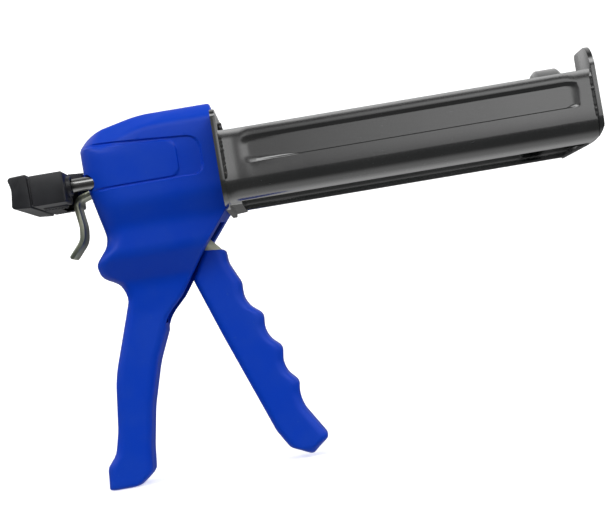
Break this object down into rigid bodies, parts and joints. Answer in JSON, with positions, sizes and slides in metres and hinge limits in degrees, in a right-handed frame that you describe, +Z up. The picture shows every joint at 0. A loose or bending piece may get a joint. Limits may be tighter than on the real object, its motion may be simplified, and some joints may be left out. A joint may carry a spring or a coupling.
{
  "type": "caulking gun",
  "caption": "Hand-operated two-part caulking gun: open steel tray for paired cartridges, push rods, pull knob, trigger and hand grip.",
  "frame": {"origin": "centre of the hand grip, in the middle plane", "axes": "+X to the nozzle end along the push rods, +Z up from the grip to the rods, +Y to the user's left"},
  "size_m": [0.35, 0.106, 0.2203],
  "materials": {
    "blue_plastic": "smooth moulded plastic, satin gloss",
    "black_steel": "black powder coat, semi-gloss",
    "weld_metal": "painted weld bead with bright flecks",
    "bright_steel": "bright drawn steel",
    "zinc_steel": "yellow zinc plated",
    "dark_steel": "blackened steel",
    "guide_plastic": "moulded nylon",
    "black_plastic": "moulded plastic, fine sheen"
  },
  "bodies": {
    "root": {"housing_right": "blue_plastic", "housing_left": "blue_plastic", "housing_screws": "dark_steel", "rear_guide": "guide_plastic", "front_guide": "guide_plastic", "carrier_plate": "black_steel", "carrier_screws": "dark_steel", "cradle": "black_steel", "front_plate": "black_steel", "rear_weld": "weld_metal", "front_weld": "black_steel", "trigger_pin": "bright_steel", "drive_springs": "bright_steel", "catch_springs": "bright_steel"},
    "trigger": {"trigger_grip": "blue_plastic", "trigger_lever": "zinc_steel", "trigger_rivets": "bright_steel", "trigger_roller": "bright_steel", "roller_pin": "dark_steel"},
    "drive": {"drive_plate": "bright_steel"},
    "catch": {"release_lever": "zinc_steel"},
    "rods": {"push_rod_right": "bright_steel", "push_rod_left": "bright_steel", "pusher_right": "black_steel", "pusher_left": "black_steel", "pusher_nuts": "bright_steel", "pusher_clips": "bright_steel", "pull_knob": "black_plastic", "knob_cap": "black_plastic", "knob_screws": "dark_steel"}
  },
  "joints": [
    {"name": "trigger_pull", "type": "hinge", "parent": "root", "child": "trigger", "pos_m": [0.034, 0, 0.07], "axis": [0, 1, 0], "range_deg": [0, 25], "stiffness_Nm_per_rad": 1, "springref_deg": -17.19},
    {"name": "drive_slide", "type": "slide", "parent": "root", "child": "drive", "axis": [1, 0, 0], "range_m": [0, 0.0084], "deforming": ["drive_springs"]},
    {"name": "release_lever", "type": "hinge", "parent": "root", "child": "catch", "pos_m": [-0.0025, 0, 0.1135], "axis": [0, 1, 0], "range_deg": [-7, 0], "stiffness_Nm_per_rad": 1, "springref_deg": 11.46, "deforming": ["catch_springs"]},
    {"name": "rods_slide", "type": "slide", "parent": "root", "child": "rods", "axis": [1, 0, 0], "range_m": [-0.187, 0]}
  ],
  "couplings": [
    {"joint": "drive_slide", "follows": "trigger_pull", "m_per_rad": 0.019}
  ]
}
